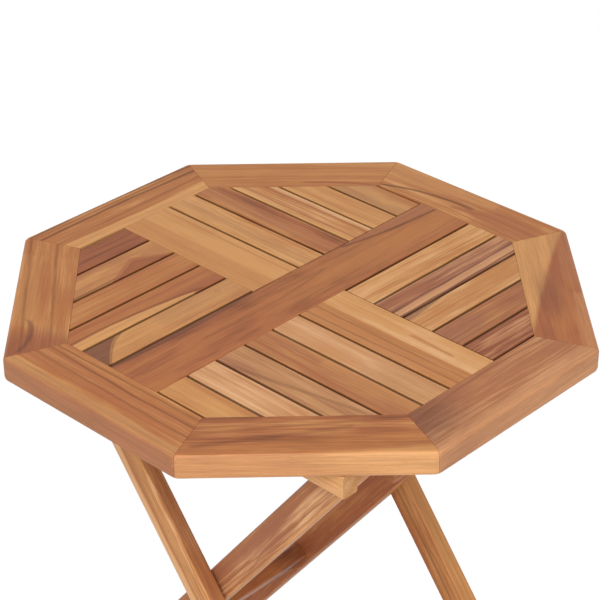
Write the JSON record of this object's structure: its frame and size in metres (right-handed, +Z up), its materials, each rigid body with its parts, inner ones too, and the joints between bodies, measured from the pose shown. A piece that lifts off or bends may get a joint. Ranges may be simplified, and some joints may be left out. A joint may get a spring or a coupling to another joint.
{
  "type": "folding garden table",
  "caption": "Folding garden table: an octagonal top of slats in a pinwheel inside a mitred frame, on two crossed leg frames that close like scissors.",
  "frame": {"origin": "on the floor under the middle of the top", "axes": "+Z up, X along the main rail of the top and the pivots, Y across the scissor legs, the top's hinge on the +Y side"},
  "size_m": [0.6, 0.6, 0.65],
  "materials": {
    "teak_light": "sanded bare teak",
    "teak_golden": "sanded bare teak",
    "teak_peach": "sanded bare teak",
    "teak_orange": "sanded bare teak",
    "teak_brown": "sanded bare teak",
    "teak_red": "sanded bare teak",
    "teak_dark": "sanded bare teak",
    "teak_purple": "sanded bare teak",
    "teak_grey": "sanded bare teak",
    "steel": "zinc plated, slightly dull"
  },
  "bodies": {
    "outer_frame": {"outer_leg_e": "teak_orange", "outer_leg_w": "teak_orange", "outer_stretcher": "teak_brown", "stretcher_screw_e": "steel", "stretcher_screw_w": "steel", "pivot_pin_e": "steel", "pivot_pin_w": "steel", "pivot_spacer_e": "steel", "pivot_spacer_w": "steel"},
    "inner_frame": {"inner_leg_e": "teak_red", "inner_leg_w": "teak_red", "inner_stretcher": "teak_dark", "inner_top_rail": "teak_brown"},
    "hinge_pins": {"hinge_bolt_e": "steel", "hinge_bolt_w": "steel", "hinge_nut_e": "steel", "hinge_nut_w": "steel"},
    "tabletop": {"frame_board_e": "teak_orange", "frame_board_ne": "teak_orange", "frame_board_n": "teak_orange", "frame_board_nw": "teak_orange", "frame_board_w": "teak_red", "frame_board_sw": "teak_orange", "frame_board_s": "teak_red", "frame_board_se": "teak_light", "main_rail": "teak_red", "cross_rail_n": "teak_golden", "cross_rail_s": "teak_golden", "slat_ne_1": "teak_light", "slat_ne_2": "teak_dark", "slat_ne_3": "teak_brown", "slat_ne_4": "teak_orange", "slat_ne_5": "teak_grey", "slat_nw_1": "teak_light", "slat_nw_2": "teak_red", "slat_nw_3": "teak_orange", "slat_nw_4": "teak_light", "slat_nw_5": "teak_dark", "slat_sw_1": "teak_peach", "slat_sw_2": "teak_brown", "slat_sw_3": "teak_grey", "slat_sw_4": "teak_peach", "slat_sw_5": "teak_golden", "slat_se_1": "teak_golden", "slat_se_2": "teak_purple", "slat_se_3": "teak_orange", "slat_se_4": "teak_brown", "slat_se_5": "teak_purple", "batten_e": "teak_light", "batten_w": "teak_light", "stop_cleat": "teak_brown", "batten_screw_ne": "steel", "batten_screw_nw": "steel", "batten_screw_se": "steel", "batten_screw_sw": "steel", "batten_screw_e": "steel", "batten_screw_w": "steel", "cleat_screw_e": "steel", "cleat_screw_w": "steel"}
  },
  "joints": [
    {"name": "top_fold", "type": "hinge", "parent": "hinge_pins", "child": "outer_frame", "pos_m": [0, 0.193, 0.6037], "axis": [1, 0, 0], "range_deg": [0, 37.2]},
    {"name": "leg_fold", "type": "hinge", "parent": "outer_frame", "child": "inner_frame", "pos_m": [0, -0.008, 0.339], "axis": [-1, 0, 0], "range_deg": [0, 74.4]},
    {"name": "top_lift", "type": "hinge", "parent": "hinge_pins", "child": "tabletop", "pos_m": [0, 0.193, 0.6037], "axis": [-1, 0, 0], "range_deg": [0, 90]}
  ],
  "couplings": [
    {"joint": "leg_fold", "follows": "top_fold", "ratio": 2}
  ]
}
